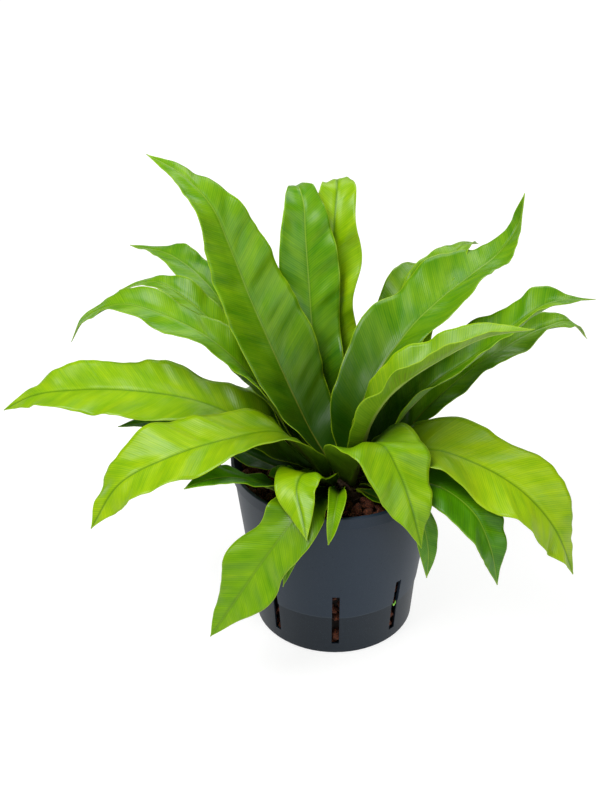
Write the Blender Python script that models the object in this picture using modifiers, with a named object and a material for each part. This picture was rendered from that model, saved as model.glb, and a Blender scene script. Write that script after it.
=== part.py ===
# Potted bird's nest fern in a slotted culture pot filled with expanded clay granules.
# Metres, +Z up. The origin is the centre of the pot's underside, and +Y is the back.
import bpy
import bmesh
import math
import numpy as np
from mathutils import Vector

MM = 0.001

# Pot: a turned, tapered shell with a collar, a step low on the wall and a slotted lower wall
pot_height = 117 * MM
rim_radius = 65 * MM            # outside of the collar's top edge
collar_height = 8.5 * MM
collar_draft = 0.4 * MM         # how much the collar narrows over its height
collar_proud = 1.3 * MM         # how far the collar stands out from the wall under it
step_height = 32 * MM
step_radius = 53.2 * MM
step_depth = 0.7 * MM
foot_radius = 50 * MM
foot_bevel = 1.4 * MM
wall = 1.3 * MM
floor_thickness = 1.8 * MM
pot_steps = 64

# Slots in the lower wall and drain holes in the floor
slot_count = 8
slot_width = 4.6 * MM
slot_bottom = 9 * MM
slot_top = 50 * MM
drain_count = 8
drain_radius = 3 * MM
drain_ring = 36 * MM            # distance of the drain holes from the axis

# Filling
clearance = 0.3 * MM            # gap left between pieces that touch
fill_drop = 11 * MM             # clay surface below the pot's top edge
fill_unevenness = 1.1 * MM
fill_steps = 48

# Root ball and rhizome, off the axis as the plant grew
crown_x = 3 * MM
crown_y = -12 * MM
root_bottom = 26 * MM           # height of the root ball's lowest point
root_radius = 27 * MM
neck_height = 16 * MM           # root ball's shoulder below the clay surface
crown_radius = 16 * MM
neck_margin = 1 * MM            # how much wider the root ball's neck is than the rhizome
crown_rise = 9 * MM             # rhizome's top above the clay surface
crown_sink = 3 * MM             # rhizome's foot below the clay surface

# Fronds
blade_thickness = 0.8 * MM
foot_gap = 0.8 * MM             # from the rhizome's dome to the middle of a stalk's end
blade_rows = 15
blade_columns = 4
stalk_share = 0.13              # part of the length over which a stalk widens into the blade
tip_width = 1.2 * MM
laid_out_radius = 65 * MM       # rim radius that the fronds below are laid out for
laid_out_crown = 16 * MM        # crown radius that their feet are laid out for

# One entry a frond, in millimetres and degrees. azimuth is its heading, 0 along +X and
# 90 to the back. foot is how far from the crown's centre the stalk starts, on the rhizome's
# dome. route runs on from there to the tip as distance out from the crown, height over the
# clay surface and, where it leaves its own plane, distance to the left. width is the blade's
# greatest width and broadest where it lies along the length. stalk is the part of the length
# over which a long stalk widens, where it isn't stalk_share. roll turns the blade about its
# midrib at stalk, middle and tip, left edge up. fold lifts both edges from the midrib at the
# same three places. wave is the margin's ripple: height, count along the length and start.
fronds = {
    # tall inner fronds
    "frond_01": dict(azimuth=142, width=54, broadest=0.38, foot=6,
                     roll=(-8, -13, -6), fold=(36, 14, 8), wave=(2.0, 3, 0.0),
                     route=((20, 24), (37, 49), (52, 74), (67, 102, 1), (84, 140, 3), (94, 160, 4),
                            (114, 174, 4), (148, 179, 2))),
    "frond_02": dict(azimuth=102, width=38, broadest=0.6, foot=9,
                     roll=(0, 0, 0), fold=(38, 14, 10), wave=(2.0, 3, 1.0),
                     route=((26, 18, 2), (41, 44, 4), (55, 76, 6), (67, 107, 6), (77, 134, 6),
                            (86, 148, 5), (97, 153, 5), (109, 150, 5), (120, 142, 5))),
    "frond_03": dict(azimuth=89, width=33, broadest=0.7, stalk=0.2, foot=11,
                     roll=(0, -6, -6), fold=(34, 14, 8), wave=(2.5, 4, 0.5),
                     route=((33, 16, 3), (50, 44, 5), (64, 78, 6), (76, 114, 6), (88, 141, 5),
                            (99, 151, 4), (112, 151, 4), (126, 141, 4))),
    "frond_04": dict(azimuth=43, width=52, broadest=0.5, foot=7,
                     roll=(0, 0, -16), fold=(48, 24, 18), wave=(2.5, 3, 2.0),
                     route=((12, 31), (18, 52), (29, 66), (44, 78), (61, 89), (86, 98), (112, 104),
                            (138, 111), (152, 122), (157, 144))),
    "frond_05": dict(azimuth=66, width=28, broadest=0.6, foot=12.5,
                     roll=(0, 0, -10), fold=(30, 16, 10), wave=(2.5, 3, 0.0),
                     route=((37, 14), (60, 37), (78, 64), (97, 86), (118, 92), (138, 82))),
    "frond_06": dict(azimuth=54, width=32, broadest=0.6, foot=12,
                     roll=(0, 4, -10), fold=(34, 16, 10), wave=(2.5, 3, 2.0),
                     route=((32, 22), (55, 48), (79, 76), (104, 98), (130, 108), (152, 100))),
    "frond_07": dict(azimuth=-8, width=33, broadest=0.5, foot=9,
                     roll=(0, 0, -5), fold=(44, 42, 34), wave=(1.0, 3, 0.0),
                     route=((13, 32, -8), (18, 54, -12), (27, 72, -12), (40, 86, -10),
                            (57, 98, -6), (85, 114, -2), (111, 119, 0))),
    # right-hand fronds
    "frond_08": dict(azimuth=21, width=38, broadest=0.6, foot=11,
                     roll=(0, -5, -15), fold=(40, 30, 20), wave=(2.5, 4, 0.0),
                     route=((26, 22), (42, 43), (60, 58), (85, 71), (106, 84), (135, 99),
                            (168, 95))),
    "frond_09": dict(azimuth=32, width=28, broadest=0.6, foot=14,
                     roll=(0, 0, 0), fold=(30, 14, 10), wave=(2.0, 4, 1.0),
                     route=((38, 13), (64, 33), (92, 48), (120, 57), (150, 62), (174, 60),
                            (190, 42))),
    "frond_10": dict(azimuth=-16, width=54, broadest=0.58, foot=13,
                     roll=(-5, 16, 18), fold=(26, 8, 8), wave=(2.0, 3, 1.0),
                     route=((26, 14), (40, 29), (58, 35), (80, 31), (111, 16), (134, -9),
                            (147, -40))),
    "frond_11": dict(azimuth=-32, width=34, broadest=0.58, foot=13.5,
                     roll=(0, 12, 15), fold=(24, 6, 8), wave=(1.5, 3, 0.0),
                     route=((34, 11), (56, 22), (76, 21), (92, 12), (104, -9), (110, -34))),
    "frond_12": dict(azimuth=-57, width=54, broadest=0.42, foot=12,
                     roll=(-4, -8, -4), fold=(44, 4, -4), wave=(1.5, 2, 0.0),
                     route=((20, 27), (30, 46), (44, 52), (60, 42), (74, 24), (84, 3))),
    "frond_13": dict(azimuth=-48, width=16, broadest=0.65, foot=14.5,
                     roll=(0, 10, 20), fold=(20, 8, 5), wave=(1.0, 2, 0.0),
                     route=((34, 6), (54, 15), (63, 15), (71, 7), (76, -8), (76, -30))),
    # front fronds that hang over the rim
    "frond_14": dict(azimuth=-118, width=29, broadest=0.45, foot=12,
                     roll=(0, 0, 0), fold=(30, 6, -8), wave=(1.0, 2, 0.0),
                     route=((27, 20, -3), (42, 30, -5), (54, 29, -2), (66, 20, 8), (75, 11, 16))),
    "frond_15": dict(azimuth=-116, width=37, broadest=0.6, foot=14,
                     roll=(0, 0, 0), fold=(10, 6, 8), wave=(2.5, 3, 0.0),
                     route=((34, 10, 0), (50, 16, 0), (60, 16, 0), (72, 6, -5), (82, -15, -16),
                            (92, -40, -28), (100, -62, -39))),
    "frond_16": dict(azimuth=-103, width=9, broadest=0.7, foot=14.5,
                     roll=(0, 0, 0), fold=(10, 6, 4), wave=(0.4, 2, 0.0),
                     route=((34, 7, -1), (53, 13.2, -6), (61, 10, -10), (66, -7, -15),
                            (70, -31, -20))),
    "frond_17": dict(azimuth=-94, width=13, broadest=0.55, foot=13.5,
                     roll=(0, 0, 0), fold=(40, 44, 20), wave=(0.4, 2, 0.0),
                     route=((28, 12, 0), (44, 19, 0), (56, 17, -1), (62, 10, -2), (65, 1, -4))),
    # left-hand fronds
    "frond_18": dict(azimuth=200, width=50, broadest=0.62, foot=12,
                     roll=(40, -9, -14), fold=(12, 8, 6), wave=(1.5, 3, 1.0),
                     route=((24, 29), (39, 46), (70, 49), (106, 45), (139, 33), (158, 5))),
    "frond_19": dict(azimuth=171, width=48, broadest=0.64, stalk=0.25, foot=13,
                     roll=(0, -14, -12), fold=(20, 6, 6), wave=(2.5, 4, 0.0),
                     route=((34, 15), (58, 38), (86, 50), (123, 54), (163, 51), (192, 44),
                            (212, 31))),
    "frond_20": dict(azimuth=175, width=24, broadest=0.65, foot=14.5,
                     roll=(0, 0, 0), fold=(26, 8, 8), wave=(1.0, 3, 0.0),
                     route=((40, 9), (66, 22), (92, 32), (120, 37), (137, 33))),
    "frond_21": dict(azimuth=213, width=25, broadest=0.65, foot=14,
                     roll=(0, 0, 0), fold=(18, 8, 8), wave=(1.0, 3, 0.0),
                     route=((36, 7), (58, 22), (80, 35), (98, 39), (110, 38))),
    "frond_22": dict(azimuth=134, width=29, broadest=0.6, foot=12,
                     roll=(0, -5, 0), fold=(32, 12, 10), wave=(2.0, 4, 0.0),
                     route=((36, 12), (62, 39), (92, 70), (120, 91), (150, 98), (196, 89))),
    "frond_23": dict(azimuth=148, width=24, broadest=0.6, stalk=0.2, foot=12,
                     roll=(0, -5, -5), fold=(28, 12, 10), wave=(1.5, 4, 1.0),
                     route=((31, 20), (52, 45), (76, 70), (102, 91), (134, 101), (164, 86))),
    "frond_24": dict(azimuth=161, width=29, broadest=0.6, stalk=0.38, foot=10.5,
                     roll=(0, -3, -8), fold=(26, 14, 10), wave=(2.0, 4, 2.0),
                     route=((28, 24), (43, 47), (59, 67), (81, 85), (111, 97), (141, 100),
                            (168, 83), (177, 66))),
    # back fronds, and one under the right-hand group
    "frond_25": dict(azimuth=97, width=38, broadest=0.65, foot=13,
                     roll=(0, 0, 0), fold=(28, 10, 8), wave=(2.0, 3, 0.0),
                     route=((38, 12), (66, 28), (96, 44), (126, 47), (150, 34), (162, 10))),
    "frond_26": dict(azimuth=124, width=26, broadest=0.65, foot=14.5,
                     roll=(0, 0, 0), fold=(20, 10, 8), wave=(1.5, 3, 0.0),
                     route=((40, 7), (66, 15), (84, 20), (104, 14), (118, 0))),
    "frond_27": dict(azimuth=66, width=30, broadest=0.65, foot=15.2,
                     roll=(0, 0, 0), fold=(16, 10, 8), wave=(2.0, 3, 0.0),
                     route=((38, 6), (64, 17), (92, 26), (118, 25), (136, 8), (140, -16))),
    "frond_28": dict(azimuth=10, width=15, broadest=0.6, foot=14,
                     roll=(0, 0, 0), fold=(24, 10, 8), wave=(0.6, 3, 0.0),
                     route=((28, 12), (40, 24), (52, 35), (62, 40))),
    # young fronds
    "young_frond_1": dict(azimuth=205.5, width=20, broadest=0.7, foot=13,
                          roll=(0, 0, 0), fold=(10, 8, 4), wave=(1.0, 2, 0.0),
                          route=((22, 7), (32, 12), (41, 17), (49, 20))),
    "young_frond_2": dict(azimuth=42, width=12, broadest=0.6, foot=15,
                          roll=(0, 0, 0), fold=(20, 8, 5), wave=(0.6, 2, 0.0),
                          route=((30, 6), (42, 10), (54, 13), (64, 12))),
}


clay_level = pot_height - fill_drop
growth = rim_radius / laid_out_radius       # the plant spreads as wide as its pot lets it
crown_spread = crown_radius / laid_out_crown
neck_radius = crown_radius + neck_margin


def material(name, colour, roughness, metallic=0.0):
    mat = bpy.data.materials.new(name)
    mat.use_nodes = True
    shader = mat.node_tree.nodes["Principled BSDF"]
    shader.inputs["Base Color"].default_value = (*colour, 1.0)
    shader.inputs["Roughness"].default_value = roughness
    shader.inputs["Metallic"].default_value = metallic
    return mat


def pot_plastic():
    return material("pot_plastic", (0.045, 0.058, 0.075), 0.5)


def expanded_clay():
    return material("expanded_clay", (0.17, 0.055, 0.028), 0.9)


def fern_root():
    return material("fern_root", (0.025, 0.014, 0.010), 0.95)


def rhizome_scale():
    return material("rhizome_scale", (0.040, 0.022, 0.012), 0.85)


def fern_leaf():
    return material("fern_leaf", (0.17, 0.42, 0.012), 0.35)


def clear_scene():
    for obj in list(bpy.data.objects):
        bpy.data.objects.remove(obj, do_unlink=True)


def new_collection(name):
    collection = bpy.data.collections.new(name)
    bpy.context.scene.collection.children.link(collection)
    return collection


def add_object(name, bm, collection, mat, sharp_angle=35):
    mesh = bpy.data.meshes.new(name)
    bm.to_mesh(mesh)
    bm.free()
    mesh.shade_smooth()
    mesh.set_sharp_from_angle(angle=math.radians(sharp_angle))
    obj = bpy.data.objects.new(name, mesh)
    if mat:
        mesh.materials.append(mat)
    collection.objects.link(obj)
    return obj


def turned(name, profile, steps, collection, mat):
    """A profile of (radius, height) points, outer side first from top to bottom, screwed round Z."""
    bm = bmesh.new()
    points = [bm.verts.new((radius, 0.0, height)) for radius, height in profile]
    for first, second in zip(points, points[1:]):
        bm.edges.new((first, second))
    obj = add_object(name, bm, collection, mat)
    screw = obj.modifiers.new("turn", "SCREW")
    screw.steps = steps
    screw.render_steps = steps
    screw.use_merge_vertices = True
    screw.merge_threshold = 0.00005
    return obj


def outer_radius(height):
    """Outside of the pot's wall at a height, from the step up to the collar."""
    share = (height - step_height) / (pot_height - collar_height - step_height)
    top = rim_radius - collar_draft - collar_proud
    return step_radius + share * (top - step_radius)


def inner_radius(height):
    """Inside of the pot at a height. The inner face runs on two slopes with no step."""
    if height < step_height:
        share = height / step_height
        return foot_radius + share * (step_radius - step_depth - foot_radius) - wall
    share = (height - step_height) / (pot_height - step_height)
    foot = step_radius - step_depth
    return foot + share * (outer_radius(pot_height) - foot) - wall


def pot_profile():
    under_collar = pot_height - collar_height
    outside = [
        (inner_radius(pot_height), pot_height),
        (rim_radius - 0.5 * MM, pot_height),
        (rim_radius, pot_height - 0.6 * MM),
        (rim_radius - collar_draft, under_collar),
        (outer_radius(under_collar), under_collar - 0.5 * MM),
        (step_radius, step_height),
        (step_radius - step_depth, step_height - 1.0 * MM),
        (foot_radius, foot_bevel),
        (foot_radius - foot_bevel, 0.0),
        (0.0, 0.0),
    ]
    inside = [
        (0.0, floor_thickness),
        (inner_radius(floor_thickness), floor_thickness),
        (inner_radius(step_height), step_height),
    ]
    return outside, inside


def slot_cutter(index, cutters):
    bm = bmesh.new()
    bmesh.ops.create_cube(bm, size=1.0)
    depth = rim_radius
    for vert in bm.verts:
        vert.co.x = vert.co.x * depth + depth / 2 + foot_radius / 2
        vert.co.y *= slot_width
        vert.co.z = vert.co.z * (slot_top - slot_bottom) + (slot_top + slot_bottom) / 2
    cutter = add_object(f"slot_cutter_{index}", bm, cutters, None)
    cutter.rotation_euler.z = math.radians(index * 360 / slot_count - 90)
    return cutter


def drain_cutter(index, cutters):
    bm = bmesh.new()
    bmesh.ops.create_cone(bm, cap_ends=True, segments=12, radius1=drain_radius,
                          radius2=drain_radius, depth=4 * floor_thickness)
    angle = math.radians((index + 0.5) * 360 / drain_count)
    cutter = add_object(f"drain_cutter_{index}", bm, cutters, None)
    cutter.location = (drain_ring * math.cos(angle), drain_ring * math.sin(angle), 0.0)
    return cutter


def cut(obj, cutter):
    cutter.hide_render = True
    cutter.display_type = "WIRE"
    boolean = obj.modifiers.new(cutter.name, "BOOLEAN")
    boolean.operation = "DIFFERENCE"
    boolean.solver = "EXACT"
    boolean.object = cutter


def make_pot(collection, cutters):
    outside, inside = pot_profile()
    closed = outside + inside + [outside[0]]
    pot = turned("culture_pot", closed, pot_steps, collection, pot_plastic())
    for index in range(slot_count):
        cut(pot, slot_cutter(index, cutters))
    for index in range(drain_count):
        cut(pot, drain_cutter(index, cutters))
    return pot


def root_profile(grow):
    """Root ball from its neck down, every face moved out by grow."""
    neck = clay_level - crown_sink - clearance
    shoulder = clay_level - neck_height
    return [
        (neck_radius + grow, neck),
        (neck_radius + grow, shoulder + grow),
        (root_radius * 0.85 + grow, shoulder - 6 * MM + grow),
        (root_radius + grow, shoulder - 20 * MM),
        (root_radius * 0.95 + grow, root_bottom + 16 * MM),
        (root_radius * 0.7 + grow, root_bottom + 5 * MM),
        (root_radius * 0.35 + grow, root_bottom - grow),
        (0.0, root_bottom - grow),
    ]


def make_root_ball(collection):
    profile = root_profile(0.0)
    top = [(0.0, profile[0][1])]
    ball = turned("root_ball", top + profile, 32, collection, fern_root())
    ball.location = (crown_x, crown_y, 0.0)
    return ball


def make_clay(collection, cutters):
    """One body of granules: it fills the pot up to an uneven top and stands round the roots."""
    bm = bmesh.new()
    bottom = floor_thickness + clearance
    outline = [(0.0, clay_level), (inner_radius(clay_level) * 0.4, clay_level)]
    outline += [(inner_radius(clay_level) * share - clearance, clay_level) for share in (0.7, 1.0)]
    outline += [(inner_radius(step_height) - clearance, step_height)]
    outline += [(inner_radius(bottom) - clearance, bottom), (0.0, bottom)]
    points = [bm.verts.new((radius, 0.0, height)) for radius, height in outline]
    edges = [bm.edges.new(pair) for pair in zip(points, points[1:])]
    bmesh.ops.spin(bm, geom=points + edges, cent=(0, 0, 0), axis=(0, 0, 1), angle=math.tau,
                   steps=fill_steps, use_merge=True)
    bmesh.ops.remove_doubles(bm, verts=bm.verts, dist=0.00005)
    bmesh.ops.recalc_face_normals(bm, faces=bm.faces)
    for vert in bm.verts:
        if vert.co.z > clay_level - MM:
            bump = math.sin(vert.co.x * 410) * math.cos(vert.co.y * 370)
            vert.co.z += fill_unevenness * bump
            vert.co.xy *= inner_radius(vert.co.z) / inner_radius(clay_level)
    clay = add_object("clay_granules", bm, collection, expanded_clay(), sharp_angle=60)
    top = (root_radius, clay_level + 4 * fill_unevenness)
    well = [(0.0, top[1]), (neck_radius + clearance, top[1])] + root_profile(clearance)
    cutter = turned("root_cutter", well, 32, cutters, None)
    cutter.location = (crown_x, crown_y, 0.0)
    cut(clay, cutter)
    return clay


def crown_height(radius):
    """Height of the rhizome's domed top at a distance from the crown's centre."""
    share = min(1.0, radius / crown_radius)
    return clay_level - crown_sink + (crown_rise + crown_sink) * math.sqrt(1.0 - share * share)


def make_crown(collection):
    radii = [crown_radius * math.sin(math.radians(angle)) for angle in range(0, 91, 15)]
    dome = [(radius, crown_height(radius)) for radius in radii]
    profile = dome + [(0.0, clay_level - crown_sink)]
    crown = turned("rhizome_crown", profile, 32, collection, rhizome_scale())
    crown.location = (crown_x, crown_y, 0.0)
    return crown


def smooth_route(points, samples=121):
    """Even stations along a smooth curve through the points."""
    points = np.array(points)
    gaps = np.linalg.norm(np.diff(points, axis=0), axis=1)
    knots = np.concatenate([[0.0], np.cumsum(gaps)])
    slopes = np.gradient(points, knots, axis=0)
    fine = np.linspace(0.0, knots[-1], samples * 4)
    piece = np.clip(np.searchsorted(knots, fine, side="right") - 1, 0, len(gaps) - 1)
    step = gaps[piece][:, None]
    u = ((fine - knots[piece]) / gaps[piece])[:, None]
    start, end = points[piece], points[piece + 1]
    curve = ((2 * u**3 - 3 * u**2 + 1) * start + (u**3 - 2 * u**2 + u) * step * slopes[piece]
             + (3 * u**2 - 2 * u**3) * end + (u**3 - u**2) * step * slopes[piece + 1])
    run = np.concatenate([[0.0], np.cumsum(np.linalg.norm(np.diff(curve, axis=0), axis=1))])
    even = np.linspace(0.0, run[-1], samples)
    return np.stack([np.interp(even, run, curve[:, axis]) for axis in range(3)], axis=1)


def breadth(share, broadest, widened):
    """Share of the greatest width: a stalk widening up to widened, a long belly and a fine tip."""
    if share < broadest:
        rise = share / broadest
        body = 0.42 + 0.58 * math.sin(rise * math.pi / 2)
    else:
        fall = (share - broadest) / (1.0 - broadest)
        body = (1.0 - fall**1.9) ** 1.15
    stalk = min(1.0, share / widened)
    return body * (0.16 + 0.84 * stalk * stalk * (3 - 2 * stalk))


def between(values, share):
    return float(np.interp(share, (0.0, 0.5, 1.0), values))


def frond_frame(frond):
    """World points, tangents and left directions along the frond's midrib."""
    angle = math.radians(frond["azimuth"])
    out = np.array((math.cos(angle), math.sin(angle), 0.0))
    left = np.array((-math.sin(angle), math.cos(angle), 0.0))
    start = np.array((crown_x, crown_y, clay_level))
    scale = growth * MM
    foot = frond["foot"] * MM * crown_spread
    route = [start + foot * out + (0.0, 0.0, crown_height(foot) + foot_gap - clay_level)]
    route += [start + scale * (point[0] * out + (point[2] if len(point) > 2 else 0.0) * left)
              + (0.0, 0.0, scale * point[1]) for point in frond["route"]]
    line = smooth_route(route)
    tangent = np.gradient(line, axis=0)
    tangent /= np.linalg.norm(tangent, axis=1)[:, None]
    side = left - tangent * (tangent @ left)[:, None]
    side /= np.linalg.norm(side, axis=1)[:, None]
    return line, tangent, side


def make_frond(name, frond, collection, mat):
    """A flat grid bent along the midrib's route, folded, rolled and rippled, then thickened."""
    line, tangent, side = frond_frame(frond)
    last = len(line) - 1
    height, count, start = frond["wave"]
    bm = bmesh.new()
    bmesh.ops.create_grid(bm, x_segments=blade_columns, y_segments=blade_rows, size=1.0)
    for vert in bm.verts:
        share = (vert.co.y + 1) / 2
        across = vert.co.x
        place = share * last
        here = np.array([np.interp(place, range(last + 1), line[:, axis]) for axis in range(3)])
        index = round(place)
        roll = math.radians(between(frond["roll"], share))
        fold = math.radians(between(frond["fold"], share))
        up = np.cross(tangent[index], side[index])
        wide = math.cos(roll) * side[index] + math.sin(roll) * up
        normal = np.cross(tangent[index], wide)
        width = breadth(share, frond["broadest"], frond.get("stalk", stalk_share))
        half = max(width * frond["width"] * MM * growth, tip_width) / 2
        ripple = math.sin(math.tau * count * share + start + 0.8 * across)
        lift = half * math.sin(fold) * abs(across) ** 1.4
        lift += height * MM * growth * across * across * ripple * min(1.0, half / (10 * MM))
        vert.co = Vector(here - wide * half * math.cos(fold) * across + normal * lift)
    bmesh.ops.recalc_face_normals(bm, faces=bm.faces)
    blade = add_object(name, bm, collection, mat, sharp_angle=180)
    shell = blade.modifiers.new("thickness", "SOLIDIFY")
    shell.thickness = blade_thickness
    shell.offset = 0.0
    return blade


def build():
    clear_scene()
    plant = new_collection("potted_birds_nest_fern")
    cutters = new_collection("cutters")
    make_pot(plant, cutters)
    make_clay(plant, cutters)
    make_root_ball(plant)
    make_crown(plant)
    leaf = fern_leaf()
    for name, frond in fronds.items():
        make_frond(name, frond, plant, leaf)


build()
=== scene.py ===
import bpy, bmesh, math
import numpy as np
from mathutils import Matrix, Vector, noise


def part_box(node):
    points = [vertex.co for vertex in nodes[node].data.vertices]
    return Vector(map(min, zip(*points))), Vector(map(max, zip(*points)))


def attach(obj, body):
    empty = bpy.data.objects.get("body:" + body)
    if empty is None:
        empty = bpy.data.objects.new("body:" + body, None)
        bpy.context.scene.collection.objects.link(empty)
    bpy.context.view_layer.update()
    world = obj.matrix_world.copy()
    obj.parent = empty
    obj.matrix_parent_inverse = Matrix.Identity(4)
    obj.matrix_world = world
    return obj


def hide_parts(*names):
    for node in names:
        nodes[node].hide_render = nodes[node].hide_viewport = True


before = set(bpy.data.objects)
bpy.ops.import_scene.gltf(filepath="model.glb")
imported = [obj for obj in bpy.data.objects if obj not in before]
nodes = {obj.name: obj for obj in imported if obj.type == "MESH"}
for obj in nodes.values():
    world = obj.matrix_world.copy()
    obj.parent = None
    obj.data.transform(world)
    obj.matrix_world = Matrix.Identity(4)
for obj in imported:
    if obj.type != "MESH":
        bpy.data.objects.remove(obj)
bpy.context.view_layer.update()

# potted bird's nest fern: fronds, rhizome scales, clay granules and a slotted culture pot
mm = 0.001
collection = bpy.data.collections.new("pottedFern")
bpy.context.scene.collection.children.link(collection)


def fromHex(code):  # sRGB hex to linear RGBA
    parts = [int(code[i:i + 2], 16) / 255 for i in (1, 3, 5)]
    return (*[p / 12.92 if p <= 0.04045 else ((p + 0.055) / 1.055) ** 2.4 for p in parts], 1.0)


def addNode(tree, kind, links=(), out=0, stops=(), **settings):
    # links pair an input with a value, a hex colour or an earlier node's output
    node = tree.nodes.new("ShaderNode" + kind)
    for key, value in settings.items():
        setattr(node, key, value)
    for place, colour in stops[2:]:
        node.color_ramp.elements.new(place)
    for point, (place, colour) in zip(node.color_ramp.elements if stops else (), stops):
        point.position = place
        point.color = fromHex(colour)
    for socket, value in links:
        if isinstance(value, bpy.types.NodeSocket):
            tree.links.new(value, node.inputs[socket])
        else:
            node.inputs[socket].default_value = fromHex(value) if isinstance(value, str) else value
    return node.outputs[out] if node.outputs else node


def newMaterial(name):
    mat = bpy.data.materials.new(name)
    mat.use_nodes = True
    mat.node_tree.nodes.clear()
    return mat, mat.node_tree


def addPiece(name, bm, mats, stands=(), sharp=None):
    mesh = bpy.data.meshes.new(name)
    bm.to_mesh(mesh)
    bm.free()
    mesh.shade_smooth()
    if sharp:
        mesh.set_sharp_from_angle(angle=math.radians(sharp))
    piece = bpy.data.objects.new(name, mesh)
    for mat in mats:
        mesh.materials.append(mat)
    collection.objects.link(piece)
    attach(piece, "root")
    if stands:
        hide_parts(*stands)
    return piece


# living fern leaf: a waxy skin over soft green tissue, so a satin sheen and light let through
leaf = {
    "veinSpacing": 1.5,      # mm, a little coarser than real so that the veins show
    "veinAngle": 52,         # degrees between a side vein and the midrib
    "veinStreak": 22.0,      # mm out from the midrib before a vein's tone changes
    "cloudAlong": 11.0,      # mm, soft patches of lighter and darker green, partly the leaf's own uneven colour and partly painted light and shade of the blade's undulations
    "cloudAcross": 17.0,     # mm
    "roughness": 0.36,
    "lightThrough": 0.22,
}
soft = {"interpolation_type": "SMOOTHSTEP"}


def leafPattern(tree):  # the blade's own map: mm along and across, and shares of length and width
    place = addNode(tree, "Attribute", out="Vector", attribute_name="leafPlace")
    shares = addNode(tree, "Attribute", out="Vector", attribute_name="leafShare")
    rim = addNode(tree, "Attribute", out="Fac", attribute_name="leafRim")
    along, aside, seed = [addNode(tree, "SeparateXYZ", [(0, place)], out=axis) for axis in range(3)]
    share, edge, tone = [addNode(tree, "SeparateXYZ", [(0, shares)], out=axis) for axis in range(3)]
    off = addNode(tree, "Math", [(0, aside)], operation="ABSOLUTE")
    slope = -1 / math.tan(math.radians(leaf["veinAngle"]))
    run = addNode(tree, "Math", [(0, off), (1, slope), (2, along)], operation="MULTIPLY_ADD")
    noises = []
    for length, width, detail in ((leaf["veinSpacing"], leaf["veinStreak"], 1.5),
                                  (leaf["cloudAlong"], leaf["cloudAcross"], 2.0)):
        across = addNode(tree, "Math", [(0, aside), (1, width)], operation="DIVIDE")
        ahead = addNode(tree, "Math", [(0, run), (1, length)], operation="DIVIDE")
        spot = addNode(tree, "CombineXYZ", [(0, ahead), (1, across), (2, seed)])
        noises.append(addNode(tree, "TexNoise", [("Vector", spot), ("Scale", 1.0),
                                                 ("Detail", detail)]))
    beat = math.tau / leaf["veinSpacing"]
    turn = addNode(tree, "Math", [(0, run), (1, beat)], operation="MULTIPLY")
    wave = addNode(tree, "Math", [(0, turn)], operation="SINE")
    vein = addNode(tree, "Math", [(0, wave), (1, 0.2), (2, noises[0])], operation="MULTIPLY_ADD")
    return {"share": share, "edge": edge, "tone": tone, "off": off, "vein": vein,
            "cloud": noises[1], "turn": turn, "rim": rim}


def leafLevel(tree, p, cloudy, veined, shift):  # how light the blade is at each spot, with soft patches that are partly the leaf's own uneven colour and partly painted light and shade
    level = addNode(tree, "Math", [(0, p["cloud"]), (1, cloudy), (2, p["tone"])],
                    operation="MULTIPLY_ADD")
    level = addNode(tree, "Math", [(0, p["vein"]), (1, veined), (2, level)],
                    operation="MULTIPLY_ADD")
    return addNode(tree, "Math", [(0, level), (1, shift)], operation="SUBTRACT")


def leafShader(tree, colour, through, height, roughness):
    bump = addNode(tree, "Bump", [("Height", height), ("Strength", 0.45), ("Distance", 0.25 * mm)])
    skin = addNode(tree, "BsdfPrincipled", [
        ("Base Color", colour), ("Roughness", roughness), ("IOR", 1.42), ("Normal", bump),
        ("Specular IOR Level", 0.34), ("Coat Weight", 0.06), ("Coat Roughness", 0.24)])
    lit = addNode(tree, "Mix", [(0, 0.5), (6, colour), (7, through)], out=2, data_type="RGBA")
    glow = addNode(tree, "BsdfTranslucent", [("Color", lit)])
    both = addNode(tree, "MixShader", [(0, leaf["lightThrough"]), (1, skin), (2, glow)])
    addNode(tree, "OutputMaterial", [(0, both)])


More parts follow.
